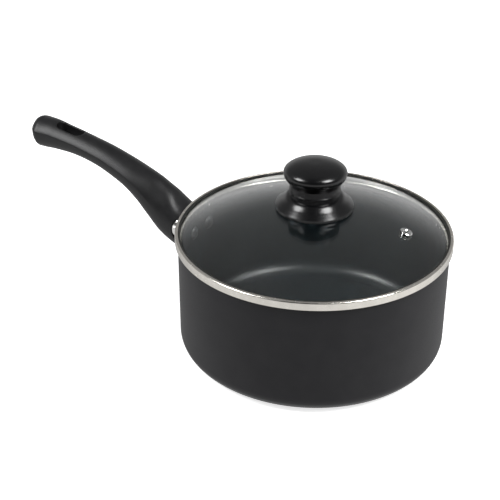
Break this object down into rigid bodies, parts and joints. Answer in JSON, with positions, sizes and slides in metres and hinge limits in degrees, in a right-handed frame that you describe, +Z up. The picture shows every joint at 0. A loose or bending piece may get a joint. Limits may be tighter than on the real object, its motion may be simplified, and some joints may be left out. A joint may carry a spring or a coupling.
{
  "type": "saucepan with glass lid",
  "caption": "Deep round saucepan with a long curved handle, a flame guard and a domed glass lid with a steel rim, a steam vent and a knob.",
  "frame": {"origin": "centre of the pan's flat base", "axes": "+Z up along the pan's axis, the handle points along -X, Y across"},
  "size_m": [0.3277, 0.188, 0.1371],
  "materials": {
    "pan_coating": "satin non-stick coating",
    "rivet_coating": "satin non-stick coating",
    "bracket_steel": "plain pressed steel",
    "guard_steel": "bright stainless steel",
    "handle_phenolic": "satin moulded phenolic",
    "screw_steel": "zinc-plated steel",
    "lid_glass": "clear tempered glass",
    "band_steel": "rolled stainless steel",
    "rim_seal": "matte silicone",
    "vent_steel": "bright rolled eyelet",
    "gasket_silicone": "translucent white silicone",
    "knob_phenolic": "polished moulded phenolic",
    "insert_brass": "turned brass"
  },
  "bodies": {
    "pan": {"pan_body": "pan_coating", "handle_bracket": "bracket_steel", "bracket_rivet_left": "rivet_coating", "bracket_rivet_right": "rivet_coating", "flame_guard": "guard_steel", "handle": "handle_phenolic", "handle_screw": "screw_steel", "handle_screw_washer": "screw_steel"},
    "lid": {"lid_glass": "lid_glass", "lid_rim_band": "band_steel", "lid_rim_seal": "rim_seal", "vent_eyelet": "vent_steel", "vent_washer": "rim_seal", "knob": "knob_phenolic", "knob_insert": "insert_brass", "knob_gasket_upper": "gasket_silicone", "knob_gasket_lower": "gasket_silicone", "knob_washer": "screw_steel", "knob_screw": "screw_steel"}
  },
  "joints": [
    {"name": "lid_lift", "type": "slide", "parent": "pan", "child": "lid", "axis": [0, 0, 1], "range_m": [0, 0.12]}
  ]
}
